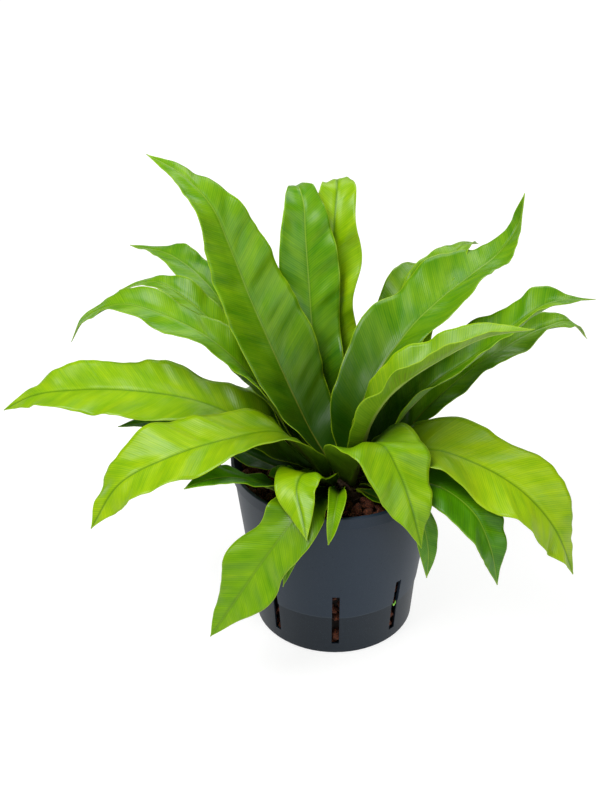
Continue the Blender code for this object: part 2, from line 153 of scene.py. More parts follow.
def makeLeafTop():  # upper side: deep green at the crown, which is partly the leaf's own colour and partly painted shade, yellow-green outward, fine slanting veins
    mat, tree = newMaterial("fernLeafUpperSide")
    p = leafPattern(tree)
    level = leafLevel(tree, p, cloudy=0.5, veined=0.28, shift=0.41)
    base = addNode(tree, "ValToRGB", [(0, level)], stops=[
        (0.0, "#255600"), (0.35, "#488400"), (0.7, "#7EAA00"), (1.0, "#A8C600")])
    pale = addNode(tree, "MapRange", [(0, p["share"]), (1, 0.55), (2, 0.15)], **soft)
    ribColour = addNode(tree, "Mix", [(0, pale), (6, "#8CB030"), (7, "#7E7A2A")],
                        out=2, data_type="RGBA")
    # painted shade: on the brighter fronds the midrib is painted dark green, standing for the shade
    # in its groove
    light = addNode(tree, "MapRange", [(0, p["tone"]), (1, 0.58), (2, 0.62)], **soft)
    ribColour = addNode(tree, "Mix", [(0, light), (6, ribColour), (7, "#467200")],
                        out=2, data_type="RGBA")
    # each layer: what it follows, where it starts, where it is full, how strong, its colour
    for follows, start, full, strength, colour in (
            # painted shade: the first layer darkens the blade towards the crown, partly its own
            # deeper green; the second is the stalk foot's own dark brown
            ("share", 0.6, 0.04, 0.92, "#0C3400"), ("share", 0.03, 0.008, 1.0, "#2E260C"),
            # painted shade: dark lines either side of the midrib stand for the shade on the
            # groove's walls; the rib line itself is its own paler colour
            ("off", 1.3, 0.5, 0.28, "#2F6000"), ("off", 0.5, 0.2, 0.6, ribColour),
            ("rim", 0.6, 0.2, 0.5, "#AACA20")):
        amount = addNode(tree, "MapRange", [(0, p[follows]), (1, start), (2, full), (4, strength)],
                         **soft)
        base = addNode(tree, "Mix", [(0, amount), (6, base), (7, colour)], out=2, data_type="RGBA")
    rough = addNode(tree, "MapRange", [(0, p["cloud"]), (3, leaf["roughness"] - 0.07),
                                       (4, leaf["roughness"] + 0.1)])
    leafShader(tree, base, "#88BA00", p["vein"], rough)
    return mat


def makeLeafUnder():  # underside: paler and duller, brown midrib, slanting rows of spore cases
    mat, tree = newMaterial("fernLeafUnderside")
    p = leafPattern(tree)
    level = leafLevel(tree, p, cloudy=0.4, veined=0.45, shift=0.43)
    base = addNode(tree, "ValToRGB", [(0, level)], stops=[
        (0.0, "#346204"), (0.5, "#62900A"), (1.0, "#8DB01A")])
    half = addNode(tree, "Math", [(0, p["turn"]), (1, 0.5)], operation="MULTIPLY")
    amount = addNode(tree, "Math", [(0, half)], operation="SINE")
    amount = addNode(tree, "MapRange", [(0, amount), (1, 0.6), (2, 0.9), (4, 0.5)], **soft)
    for follows, start, full in (("edge", 0.72, 0.6), ("share", 0.4, 0.5), ("off", 1.4, 2.2)):
        band = addNode(tree, "MapRange", [(0, p[follows]), (1, start), (2, full)], **soft)
        amount = addNode(tree, "Math", [(0, amount), (1, band)], operation="MULTIPLY")
    base = addNode(tree, "Mix", [(0, amount), (6, base), (7, "#6B6A22")], out=2, data_type="RGBA")
    brown = addNode(tree, "MapRange", [(0, p["share"]), (1, 0.5), (2, 0.08)], **soft)
    ribColour = addNode(tree, "Mix", [(0, brown), (6, "#A4BC57"), (7, "#57471F")],
                        out=2, data_type="RGBA")
    for follows, start, full, strength, colour in (
            ("off", 1.6, 0.8, 0.85, ribColour), ("share", 0.06, 0.01, 1.0, "#35280F"),
            # painted shade: the first entry on this line darkens the underside towards the crown,
            # partly its own deeper green
            ("share", 0.4, 0.03, 0.5, "#1C4600"), ("rim", 0.6, 0.2, 0.5, "#AACA20")):
        amount = addNode(tree, "MapRange", [(0, p[follows]), (1, start), (2, full), (4, strength)],
                         **soft)
        base = addNode(tree, "Mix", [(0, amount), (6, base), (7, colour)], out=2, data_type="RGBA")
    leafShader(tree, base, "#90BE00", p["vein"], 0.52)
    return mat


# fronds: the CAD solids' own routes, repeated with a fine blade, pleats, a midrib and a thin edge
blade = {
    "rows": 120,
    "columns": 20,
    "stalkShare": 0.13,
    "stalkWidth": 0.2,       # share of the breadth that a stalk keeps
    "tipWidth": 0.5,         # mm
    "ribThickness": 2.2,     # mm at the stalk
    "edgeThickness": 0.38,   # mm
    "pleatHeight": 4.6,      # mm, soft pleats that follow the side veins
    "pleatLength": 18.0,     # mm from one pleat to the next
    "grooveDepth": 0.4,      # mm, midrib's groove on the upper side
    "laidOutRadius": 65.0,   # mm, rim radius that the routes are laid out for
    "laidOutCrown": 16.0,    # mm, crown radius that the feet are laid out for
    "crownSink": 3.0,        # mm, rhizome's foot below the clay
    "footGap": 0.8,          # mm
}

fronds = {
    # tall inner fronds
    "frond_01": dict(azimuth=142, width=54, broadest=0.38, foot=6,
                     tone=0.55, base=0.62,
                     roll=(-8, -13, -6), fold=(36, 14, 8), wave=(2.0, 3, 0.0),
                     route=((20, 24), (37, 49), (52, 74), (67, 102, 1), (84, 140, 3), (94, 160, 4),
                            (114, 174, 4), (148, 179, 2))),
    "frond_02": dict(azimuth=102, width=38, broadest=0.6, foot=9,
                     tone=0.47, base=0.5,
                     roll=(0, 0, 0), fold=(38, 14, 10), wave=(2.0, 3, 1.0),
                     route=((26, 18, 2), (41, 44, 4), (55, 76, 6), (67, 107, 6), (77, 134, 6),
                            (86, 148, 5), (97, 153, 5), (109, 150, 5), (120, 142, 5))),
    "frond_03": dict(azimuth=89, width=33, broadest=0.7, stalk=0.2, foot=11,
                     tone=0.75, scallop=(0.13, 4, 2.4),
                     roll=(0, -6, -6), fold=(34, 14, 8), wave=(2.5, 4, 0.5),
                     route=((33, 16, 3), (50, 44, 5), (64, 78, 6), (76, 114, 6), (88, 141, 5),
                            (99, 151, 4), (112, 151, 4), (126, 141, 4))),
    "frond_04": dict(azimuth=43, width=52, broadest=0.5, foot=7,
                     tone=0.5, base=0.5, scallop=(0.05, 3, 1.5),
                     roll=(0, 0, -16), fold=(48, 24, 18), wave=(2.5, 3, 2.0),
                     route=((12, 31), (18, 52), (29, 66), (44, 78), (61, 89), (86, 98), (112, 104),
                            (138, 111), (152, 122), (157, 144))),
    "frond_05": dict(azimuth=66, width=28, broadest=0.6, foot=12.5,
                     tone=0.6,
                     roll=(0, 0, -10), fold=(30, 16, 10), wave=(2.5, 3, 0.0),
                     route=((37, 14), (60, 37), (78, 64), (97, 86), (118, 92), (138, 82))),
    "frond_06": dict(azimuth=54, width=32, broadest=0.6, foot=12,
                     tone=0.6,
                     roll=(0, 4, -10), fold=(34, 16, 10), wave=(2.5, 3, 2.0),
                     route=((32, 22), (55, 48), (79, 76), (104, 98), (130, 108), (152, 100))),
    "frond_07": dict(azimuth=-8, width=33, broadest=0.5, foot=9,
                     tone=0.7, base=0.5,
                     roll=(0, 0, -5), fold=(44, 42, 34), wave=(1.0, 3, 0.0),
                     route=((13, 32, -8), (18, 54, -12), (27, 72, -12), (40, 86, -10),
                            (57, 98, -6), (85, 114, -2), (111, 119, 0))),
    # right-hand fronds
    "frond_08": dict(azimuth=21, width=38, broadest=0.6, foot=11,
                     tone=0.5,
                     roll=(0, -5, -15), fold=(40, 30, 20), wave=(2.5, 4, 0.0),
                     route=((26, 22), (42, 43), (60, 58), (85, 71), (106, 84), (135, 99),
                            (168, 95))),
    "frond_09": dict(azimuth=32, width=28, broadest=0.6, foot=14,
                     tone=0.55,
                     roll=(0, 0, 0), fold=(30, 14, 10), wave=(2.0, 4, 1.0),
                     route=((38, 13), (64, 33), (92, 48), (120, 57), (150, 62), (174, 60),
                            (190, 42))),
    "frond_10": dict(azimuth=-16, width=54, broadest=0.58, foot=13,
                     tone=0.85, base=0.35, scallop=(0.04, 3, 2.0),
                     roll=(-5, 16, 18), fold=(26, 8, 8), wave=(2.0, 3, 1.0),
                     route=((26, 14), (40, 29), (58, 35), (80, 31), (111, 16), (134, -9),
                            (147, -40))),
    "frond_11": dict(azimuth=-32, width=34, broadest=0.58, foot=13.5,
                     tone=0.35,
                     roll=(0, 12, 15), fold=(24, 6, 8), wave=(1.5, 3, 0.0),
                     route=((34, 11), (56, 22), (76, 21), (92, 12), (104, -9), (110, -34))),
    "frond_12": dict(azimuth=-57, width=54, broadest=0.42, foot=12,
                     tone=0.7, base=0.8,
                     roll=(-4, -8, -4), fold=(44, 4, -4), wave=(1.5, 2, 0.0),
                     route=((20, 27), (30, 46), (44, 52), (60, 42), (74, 24), (84, 3))),
    "frond_13": dict(azimuth=-48, width=16, broadest=0.65, foot=14.5,
                     tone=0.4,
                     roll=(0, 10, 20), fold=(20, 8, 5), wave=(1.0, 2, 0.0),
                     route=((34, 6), (54, 15), (63, 15), (71, 7), (76, -8), (76, -30))),
    # front fronds that hang over the rim
    "frond_14": dict(azimuth=-118, width=29, broadest=0.45, foot=12,
                     tone=0.75, base=0.6,
                     roll=(0, 0, 0), fold=(30, 6, -8), wave=(1.0, 2, 0.0),
                     route=((27, 20, -3), (42, 30, -5), (54, 29, -2), (66, 20, 8), (75, 11, 16))),
    "frond_15": dict(azimuth=-116, width=37, broadest=0.6, foot=14,
                     tone=0.6, base=0.45, scallop=(0.13, 3, 0.5),
                     roll=(0, 0, 0), fold=(10, 6, 8), wave=(2.5, 3, 0.0),
                     route=((34, 10, 0), (50, 16, 0), (60, 16, 0), (72, 6, -5), (82, -15, -16),
                            (92, -40, -28), (100, -62, -39))),
    "frond_16": dict(azimuth=-103, width=9, broadest=0.7, foot=14.5,
                     tone=0.45,
                     roll=(0, 0, 0), fold=(10, 6, 4), wave=(0.4, 2, 0.0),
                     route=((34, 7, -1), (53, 13.2, -6), (61, 10, -10), (66, -7, -15),
                            (70, -31, -20))),
    "frond_17": dict(azimuth=-94, width=13, broadest=0.55, foot=13.5,
                     tone=0.6, scallop=(0.15, 2, 0.5),
                     roll=(0, 0, 0), fold=(40, 44, 20), wave=(0.4, 2, 0.0),
                     route=((28, 12, 0), (44, 19, 0), (56, 17, -1), (62, 10, -2), (65, 1, -4))),
    # left-hand fronds
    "frond_18": dict(azimuth=200, width=50, broadest=0.62, foot=12,
                     tone=0.8, base=0.7,
                     roll=(40, -9, -14), fold=(12, 8, 6), wave=(1.5, 3, 1.0),
                     route=((24, 29), (39, 46), (70, 49), (106, 45), (139, 33), (158, 5))),
    "frond_19": dict(azimuth=171, width=48, broadest=0.64, stalk=0.25, foot=13,
                     tone=0.75, base=0.35, scallop=(0.07, 3.5, 1.0),
                     roll=(0, -14, -12), fold=(20, 6, 6), wave=(2.5, 4, 0.0),
                     route=((34, 15), (58, 38), (86, 50), (123, 54), (163, 51), (192, 44),
                            (212, 31))),
    "frond_20": dict(azimuth=175, width=24, broadest=0.65, foot=14.5,
                     tone=0.25,
                     roll=(0, 0, 0), fold=(26, 8, 8), wave=(1.0, 3, 0.0),
                     route=((40, 9), (66, 22), (92, 32), (120, 37), (137, 33))),
    "frond_21": dict(azimuth=213, width=25, broadest=0.65, foot=14,
                     tone=0.3,
                     roll=(0, 0, 0), fold=(18, 8, 8), wave=(1.0, 3, 0.0),
                     route=((36, 7), (58, 22), (80, 35), (98, 39), (110, 38))),
    "frond_22": dict(azimuth=134, width=29, broadest=0.6, foot=12,
                     tone=0.5,
                     roll=(0, -5, 0), fold=(32, 12, 10), wave=(2.0, 4, 0.0),
                     route=((36, 12), (62, 39), (92, 70), (120, 91), (150, 98), (196, 89))),
    "frond_23": dict(azimuth=148, width=24, broadest=0.6, stalk=0.2, foot=12,
                     tone=0.55,
                     roll=(0, -5, -5), fold=(28, 12, 10), wave=(1.5, 4, 1.0),
                     route=((31, 20), (52, 45), (76, 70), (102, 91), (134, 101), (164, 86))),
    "frond_24": dict(azimuth=161, width=29, broadest=0.6, stalk=0.38, foot=10.5,
                     tone=0.55, base=0.35, scallop=(0.08, 4, 0.0),
                     roll=(0, -3, -8), fold=(26, 14, 10), wave=(2.0, 4, 2.0),
                     route=((28, 24), (43, 47), (59, 67), (81, 85), (111, 97), (141, 100),
                            (168, 83), (177, 66))),
    # back fronds, and one under the right-hand group
    "frond_25": dict(azimuth=97, width=38, broadest=0.65, foot=13,
                     tone=0.5,
                     roll=(0, 0, 0), fold=(28, 10, 8), wave=(2.0, 3, 0.0),
                     route=((38, 12), (66, 28), (96, 44), (126, 47), (150, 34), (162, 10))),
    "frond_26": dict(azimuth=124, width=26, broadest=0.65, foot=14.5,
                     tone=0.6,
                     roll=(0, 0, 0), fold=(20, 10, 8), wave=(1.5, 3, 0.0),
                     route=((40, 7), (66, 15), (84, 20), (104, 14), (118, 0))),
    "frond_27": dict(azimuth=66, width=30, broadest=0.65, foot=15.2,
                     tone=0.5,
                     roll=(0, 0, 0), fold=(16, 10, 8), wave=(2.0, 3, 0.0),
                     route=((38, 6), (64, 17), (92, 26), (118, 25), (136, 8), (140, -16))),
    "frond_28": dict(azimuth=10, width=15, broadest=0.6, foot=14,
                     tone=0.2,
                     roll=(0, 0, 0), fold=(24, 10, 8), wave=(0.6, 3, 0.0),
                     route=((28, 12), (40, 24), (52, 35), (62, 40))),
    # young fronds
    "young_frond_1": dict(azimuth=205.5, width=20, broadest=0.7, foot=13,
                          tone=0.4, base=0.5, lobes=5,
                          roll=(0, 0, 0), fold=(10, 8, 4), wave=(1.0, 2, 0.0),
                          route=((22, 7), (32, 12), (41, 17), (49, 20))),
    "young_frond_2": dict(azimuth=42, width=12, broadest=0.6, foot=15,
                          tone=0.7,
                          roll=(0, 0, 0), fold=(20, 8, 5), wave=(0.6, 2, 0.0),
                          route=((30, 6), (42, 10), (54, 13), (64, 12))),
}

crownLow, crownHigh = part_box("rhizome_crown")
potLow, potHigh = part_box("culture_pot")
crown = (crownLow + crownHigh) / 2
crownRadius = (crownHigh.x - crownLow.x) / 2
clayLevel = crownLow.z + blade["crownSink"] * mm
growth = potHigh.x / (blade["laidOutRadius"] * mm)


def smoothRoute(points, samples=161):
    points = np.array(points)
    gaps = np.linalg.norm(np.diff(points, axis=0), axis=1)
    knots = np.concatenate([[0.0], np.cumsum(gaps)])
    slopes = np.gradient(points, knots, axis=0)
    fine = np.linspace(0.0, knots[-1], samples * 4)
    part = np.clip(np.searchsorted(knots, fine, side="right") - 1, 0, len(gaps) - 1)
    step = gaps[part][:, None]
    u = ((fine - knots[part]) / gaps[part])[:, None]
    curve = ((2 * u**3 - 3 * u**2 + 1) * points[part] + (u**3 - 2 * u**2 + u) * step * slopes[part]
             + (3 * u**2 - 2 * u**3) * points[part + 1] + (u**3 - u**2) * step * slopes[part + 1])
    run = np.concatenate([[0.0], np.cumsum(np.linalg.norm(np.diff(curve, axis=0), axis=1))])
    even = np.linspace(0.0, run[-1], samples)
    return np.stack([np.interp(even, run, curve[:, axis]) for axis in range(3)], axis=1), run[-1]


def breadth(share, broadest, widened, narrow):
    rising = 0.42 + 0.58 * np.sin(np.clip(share / broadest, 0, 1) * math.pi / 2)
    fall = np.clip((share - broadest) / (1 - broadest), 0, 1)
    body = np.where(share < broadest, rising, (1 - fall**1.9) ** 1.15)
    stalk = np.clip(share / widened, 0, 1)
    return body * (narrow + (1 - narrow) * stalk * stalk * (3 - 2 * stalk))


def frondLine(frond):
    angle = math.radians(frond["azimuth"])
    out = np.array((math.cos(angle), math.sin(angle), 0.0))
    left = np.array((-math.sin(angle), math.cos(angle), 0.0))
    start = np.array((crown.x, crown.y, clayLevel))
    scale = growth * mm
    foot = frond["foot"] * crownRadius / blade["laidOutCrown"]
    dome = (crownHigh.z - crownLow.z) * math.sqrt(1 - min(1.0, foot / crownRadius) ** 2)
    route = [start + foot * out + (0, 0, dome + (blade["footGap"] - blade["crownSink"]) * mm)]
    for away, up, *aside in frond["route"]:
        route.append(start + scale * (away * out + (aside[0] if aside else 0.0) * left)
                     + (0, 0, scale * up))
    line, length = smoothRoute(route)
    tangent = np.gradient(line, axis=0)
    tangent /= np.linalg.norm(tangent, axis=1)[:, None]
    side = left - tangent * (tangent @ left)[:, None]
    side /= np.linalg.norm(side, axis=1)[:, None]
    return line, tangent, side, length


def pleat(run, across, seed):  # soft irregular waves, one set on each side of the midrib
    place = Vector((run / (blade["pleatLength"] * mm) + seed, 3.7 * (across > 0) + seed,
                    0.4 * across))
    return noise.noise(place) + 0.3 * noise.noise(place * 2.3)


def makeFrond(name, frond, seed, mats):
    line, tangent, side, length = frondLine(frond)
    height, count, start = frond["wave"]
    bm = bmesh.new()
    bmesh.ops.create_grid(bm, x_segments=blade["columns"], y_segments=blade["rows"], size=1.0)
    grid = np.array([vert.co for vert in bm.verts])
    share = (grid[:, 1] + 1) / 2
    across = np.sign(grid[:, 0]) * np.abs(grid[:, 0]) ** 1.15    # closer rows near the midrib
    place = share * (len(line) - 1)
    here, along, sideways = [
        np.stack([np.interp(place, range(len(line)), values[:, axis]) for axis in range(3)], 1)
        for values in (line, tangent, side)]
    roll = np.radians(np.interp(share, (0, 0.5, 1), frond["roll"]))[:, None]
    fold = np.radians(np.interp(share, (0, 0.5, 1), frond["fold"]))
    wide = np.cos(roll) * sideways + np.sin(roll) * np.cross(along, sideways)
    normal = np.cross(along, wide)
    width = breadth(share, frond["broadest"], frond.get("stalk", blade["stalkShare"]),
                    frond.get("base", blade["stalkWidth"]))
    half = np.maximum(width * frond["width"] * growth, blade["tipWidth"]) * mm / 2
    if "scallop" in frond:      # margin swings in and out, each side on its own beat
        deep, beats, late = frond["scallop"]
        swing = np.sin(math.tau * beats * share + late + 1.9 * (across > 0))
        half *= 1 + deep * swing * np.clip(share / 0.3, 0, 1)
    if "lobes" in frond:        # rounded lobes with narrow gaps between them
        beat = np.abs(np.sin(math.pi * frond["lobes"] * share)) ** 0.45
        half *= 1 - 0.62 * (1 - beat) * (share > 0.3) * np.where(across < 0, 1.0, 0.35)
    ripple = np.sin(math.tau * count * share + start + 0.8 * across)
    grown = np.minimum(1.0, half / (10 * mm))
    lift = half * np.sin(fold) * np.abs(across) ** 1.4
    lift += height * mm * growth * across * across * ripple * grown
    off = half * across * np.cos(fold)
    run = share * length - np.abs(off) / math.tan(math.radians(leaf["veinAngle"]))
    waves = np.array([pleat(r, a, seed) for r, a in zip(run, across)])
    reach = np.clip(np.abs(off) / (9 * mm), 0, 1)
    lift += blade["pleatHeight"] * mm * waves * reach * grown
    groove = np.exp(-(off / (0.8 * mm)) ** 2)
    groove -= 0.5 * np.exp(-((np.abs(off) - 1.9 * mm) / (0.9 * mm)) ** 2)
    lift += 0.3 * mm - blade["grooveDepth"] * mm * groove * grown
    spots = here - wide * off[:, None] + normal * lift[:, None]
    for vert, spot in zip(bm.verts, spots):
        vert.co = spot
    bm.normal_update()
    middle = bm.faces[:][len(bm.faces) // 2]
    if middle.normal.dot(Vector(normal[middle.verts[0].index])) < 0:
        bmesh.ops.reverse_faces(bm, faces=bm.faces)
    piece = addPiece(name.replace("frond", "frondBlade"), bm, mats, stands=[name])
    mesh = piece.data
    flat = np.ones(len(share))
    for title, columns in (("leafPlace", (share * length / mm, off / mm, flat * seed * 7.3)),
                           ("leafShare", (share, np.abs(across), flat * frond["tone"]))):
        chart = mesh.attributes.new(title, "FLOAT_VECTOR", "POINT")
        chart.data.foreach_set("vector", np.stack(columns, 1).ravel())
    chart = mesh.attributes.new("leafRim", "FLOAT", "POINT")
    chart.data.foreach_set("value", half * (1 - np.abs(across)) / mm)
    rib = np.exp(-(off / (1.5 * mm)) ** 2) * (1 - share) ** 0.6
    thin = blade["edgeThickness"] / blade["ribThickness"]
    group = piece.vertex_groups.new(name="thickness")
    for index, weight in enumerate(thin + (1 - thin) * rib):
        group.add([index], float(weight), "REPLACE")
    shell = piece.modifiers.new("thickness", "SOLIDIFY")
    shell.thickness = blade["ribThickness"] * mm
    shell.offset = -1.0
    shell.vertex_group = "thickness"
    shell.material_offset = 1


leafMats = [makeLeafTop(), makeLeafUnder()]
for number, (name, frond) in enumerate(fronds.items()):
    makeFrond(name, frond, number * 1.37, leafMats)
print("fronds made:", len(fronds))


# rhizome: brown papery scales over a short dark stem
scales = {
    "count": 100,
    "length": 4.4,           # mm
    "width": 1.8,            # mm
    "turn": 137.5,           # degrees from one scale to the next
    "fibre": 1.111,          # mm, coarser than real so that it shows
}


def makeScaleSkin():  # dry papery scale, dark brown and dull
    mat, tree = newMaterial("rhizomeScaleSkin")
    spot = addNode(tree, "TexCoord", out="Object")
    fibre = addNode(tree, "TexNoise", [("Vector", spot), ("Scale", 1 / (scales["fibre"] * mm)),
                                       ("Detail", 2.0)])
    colour = addNode(tree, "ValToRGB", [(0, fibre)], stops=[
        (0.3, "#21150B"), (0.55, "#402B18"), (0.75, "#61462B")])
    bump = addNode(tree, "Bump", [("Height", fibre), ("Strength", 0.5), ("Distance", 0.2 * mm)])
    skin = addNode(tree, "BsdfPrincipled", [("Base Color", colour), ("Roughness", 0.8),
                                            ("Normal", bump)])
    addNode(tree, "OutputMaterial", [(0, skin)])
    return mat


def makeScales(mat):
    bm = bmesh.new()
    high = crownHigh.z - crownLow.z
    for number in range(scales["count"]):
        turn = number * math.radians(scales["turn"])
        reach = crownRadius * math.sqrt((number + 0.5) / scales["count"]) * 0.98
        foot = Vector((crown.x + reach * math.cos(turn), crown.y + reach * math.sin(turn),
                       crownLow.z + high * math.sqrt(1 - (reach / crownRadius) ** 2)))
        made = bmesh.ops.create_grid(bm, x_segments=2, y_segments=4, size=0.5)["verts"]
        lean = Matrix.Rotation(turn + 0.6 * math.sin(number * 2.1), 3, "Z")
        size = scales["length"] * mm * (0.8 + 0.3 * math.sin(number * 1.7))
        for vert in made:
            up = vert.co.y + 0.5
            taper = math.sin(min(1.0, up + 0.25) * math.pi) ** 0.7 + 0.02
            local = Vector((0.45 * up * up + 0.12,
                            vert.co.x * taper * scales["width"] / scales["length"],
                            0.85 * up - 0.3 * up * up - abs(vert.co.x) * 0.06))
            vert.co = foot + lean @ (local * size)
    bmesh.ops.solidify(bm, geom=bm.faces[:], thickness=0.15 * mm)
    addPiece("rhizomeScales", bm, [mat])


scaleSkin = makeScaleSkin()
makeScales(scaleSkin)
nodes["rhizome_crown"].data.materials.clear()
nodes["rhizome_crown"].data.materials.append(scaleSkin)
print("rhizome scales made")


# culture pot: injection-moulded polypropylene, matt slate blue-grey with a fine moulded grain
potLook = {
    "grain": 0.35,           # mm, coarser than a mould's real grain so that it shows
    "smears": 22.22,         # mm from one faint smear to the next
    "dust": 3.846,           # mm between specks
    "roughness": 0.46,
    "wall": 1.3,             # mm
    "footRadius": 50.0,      # mm, outside of the wall at the floor
    "stepHeight": 32.0,      # mm
    "stepRadius": 53.2,      # mm, outside just above the step
    "stepDepth": 0.7,        # mm
    "topRadius": 63.3,       # mm, outside of the wall behind the collar
}


def makePotSkin():
    mat, tree = newMaterial("mouldedPotPlastic")
    spot = addNode(tree, "TexCoord", out="Object")
    grain = addNode(tree, "TexNoise", [("Vector", spot), ("Scale", 1 / (potLook["grain"] * mm)),
                                       ("Detail", 1.0)])
    smear = addNode(tree, "TexNoise", [("Vector", spot), ("Scale", 1 / (potLook["smears"] * mm)),
                                       ("Detail", 5.0)])
    dust = addNode(tree, "TexVoronoi", [("Vector", spot), ("Scale", 1 / (potLook["dust"] * mm))],
                   out="Distance")
    height = addNode(tree, "SeparateXYZ", [(0, spot)], out=2)
    ragged = addNode(tree, "Math", [(0, smear), (1, 2.4 * mm), (2, height)],
                     operation="MULTIPLY_ADD")
    step = potLook["stepHeight"] * mm
    # painted shade: below the step the wall is painted darker, as the lower wall is seen in shade;
    # the smears make the band's edge ragged
    above = addNode(tree, "MapRange", [(0, ragged), (1, step + 0.9 * mm), (2, step + 1.6 * mm)],
                    **soft)
    base = addNode(tree, "Mix", [(0, above), (6, "#0F1A24"), (7, "#1C2937")],
                   out=2, data_type="RGBA")
    rising = addNode(tree, "MapRange", [(0, ragged), (1, step - 0.2 * mm), (2, step + 1.1 * mm)],
                     **soft)
    falling = addNode(tree, "MapRange", [(0, ragged), (1, step + 2.0 * mm), (2, step + 1.1 * mm),
                                         (4, 0.45)], **soft)
    ledge = addNode(tree, "Math", [(0, rising), (1, falling)], operation="MULTIPLY")
    faint = addNode(tree, "Math", [(0, smear), (1, 0.16)], operation="MULTIPLY")
    specks = addNode(tree, "MapRange", [(0, grain), (1, 0.62), (2, 0.75), (4, 0.35)], **soft)
    dots = addNode(tree, "MapRange", [(0, dust), (1, 0.12), (2, 0.07), (4, 0.5)], **soft)
    for amount, colour in ((ledge, "#3A4650"), (faint, "#26323C"), (specks, "#45525E"),
                           (dots, "#080B0E")):
        base = addNode(tree, "Mix", [(0, amount), (6, base), (7, colour)], out=2, data_type="RGBA")
    bump = addNode(tree, "Bump", [("Height", grain), ("Strength", 0.25), ("Distance", 0.06 * mm)])
    skin = addNode(tree, "BsdfPrincipled", [
        ("Base Color", base), ("Roughness", potLook["roughness"]), ("IOR", 1.49),
        ("Specular IOR Level", 0.22), ("Normal", bump)])
    addNode(tree, "OutputMaterial", [(0, skin)])
    return mat


def makePot(mat):
    bm = bmesh.new()
    bm.from_mesh(nodes["culture_pot"].data)
    bmesh.ops.remove_doubles(bm, verts=bm.verts, dist=0.001 * mm)
    pot = addPiece("culturePot", bm, [mat], stands=["culture_pot"], sharp=30)
    soften = pot.modifiers.new("edges", "BEVEL")
    soften.width = 0.25 * mm
    soften.segments = 2
    soften.limit_method = "ANGLE"
    soften.angle_limit = math.radians(35)
    evened = pot.modifiers.new("evenShading", "WEIGHTED_NORMAL")
    evened.keep_sharp = True
    evened.weight = 90


makePot(makePotSkin())
print("pot made")


# expanded clay: small fired pebbles with a rough reddish-brown crust, over a core painted near
# black as the shade deep among them
clay = {
    "small": 2.2,            # mm, smallest radius
    "large": 4.7,            # mm
    "pitch": 7.5,            # mm between pebbles
    "lumps": 0.42,           # share of the radius
    "lumpCount": 420,        # swellings to a metre, one each 2.4 mm
    "grit": 0.769,           # mm, crust's grains, coarser than real so that they show
    "patches": 8.333,        # mm, damp and dry patches
    "crumbs": 2.5,           # mm, crumbs on the core that is painted as shade
    "topLayers": 2,
    "topDrop": 4.2,          # mm from the fill's highest point to the first layer
    "layerDrop": 5.6,        # mm
    "slots": 8,
    "slotRows": 8,
    "slotPitch": 6.4,        # mm
    "coreDrop": 9.0,         # mm from the fill's highest point to the core painted as shade
    "coreGap": 4.5,          # mm between the core and the wall
    "coreFoot": 2.6,         # mm above the ground
}


def makeClaySkin():
    mat, tree = newMaterial("firedClayCrust")
    spot = addNode(tree, "TexCoord", out="Object")
    crust = addNode(tree, "TexNoise", [("Vector", spot), ("Scale", 1 / (clay["grit"] * mm)),
                                       ("Detail", 4.0), ("Roughness", 0.7)])
    patch = addNode(tree, "TexNoise", [("Vector", spot), ("Scale", 1 / (clay["patches"] * mm)),
                                       ("Detail", 1.0)])
    colour = addNode(tree, "ValToRGB", [(0, crust)], stops=[
        (0.38, "#140804"), (0.5, "#54260F"), (0.6, "#8E4A28"), (0.76, "#BC7A50")])
    damp = addNode(tree, "Math", [(0, patch), (1, 0.5)], operation="MULTIPLY")
    colour = addNode(tree, "Mix", [(0, damp), (6, colour), (7, "#3A1A10")],
                     out=2, data_type="RGBA")
    bump = addNode(tree, "Bump", [("Height", crust), ("Strength", 1.0), ("Distance", 0.6 * mm)])
    skin = addNode(tree, "BsdfPrincipled", [("Base Color", colour), ("Roughness", 0.92),
                                            ("Normal", bump)])
    addNode(tree, "OutputMaterial", [(0, skin)])
    return mat


def makeSproutSkin():  # a seedling's tender leaf, pale and softly lit through
    mat, tree = newMaterial("seedlingLeaf")
    spot = addNode(tree, "TexCoord", out="Object")
    patch = addNode(tree, "TexNoise", [("Vector", spot), ("Scale", 1 / (seedling["patches"] * mm))])
    colour = addNode(tree, "ValToRGB", [(0, patch)], stops=[(0.3, "#4E9A08"), (0.7, "#7CC41A")])
    skin = addNode(tree, "BsdfPrincipled", [("Base Color", colour), ("Roughness", 0.4)])
    addNode(tree, "OutputMaterial", [(0, skin)])
    return mat


def makeShadedCore():  # painted shade: clay deep among the pebbles, near black so that the gaps between pebbles read deep
    mat, tree = newMaterial("clayCorePaintedShade")
    spot = addNode(tree, "TexCoord", out="Object")
    crumb = addNode(tree, "TexNoise", [("Vector", spot), ("Scale", 1 / (clay["crumbs"] * mm)),
                                       ("Detail", 3.0)])
    colour = addNode(tree, "ValToRGB", [(0, crumb)], stops=[(0.3, "#0B0503"), (0.7, "#20100A")])
    skin = addNode(tree, "BsdfPrincipled", [("Base Color", colour), ("Roughness", 0.95)])
    addNode(tree, "OutputMaterial", [(0, skin)])
    return mat


def insideRadius(height):  # inside of the pot's wall, as it tapers
    foot, step, top, stepHeight = [potLook[key] for key in (
        "footRadius", "stepRadius", "topRadius", "stepHeight")]
    up = height / mm
    inset = potLook["stepDepth"]
    if up < stepHeight:
        return (foot + up / stepHeight * (step - inset - foot) - potLook["wall"]) * mm
    share = (up - stepHeight) / (potHigh.z / mm - stepHeight)
    return (step - inset + share * (top - step) - potLook["wall"]) * mm


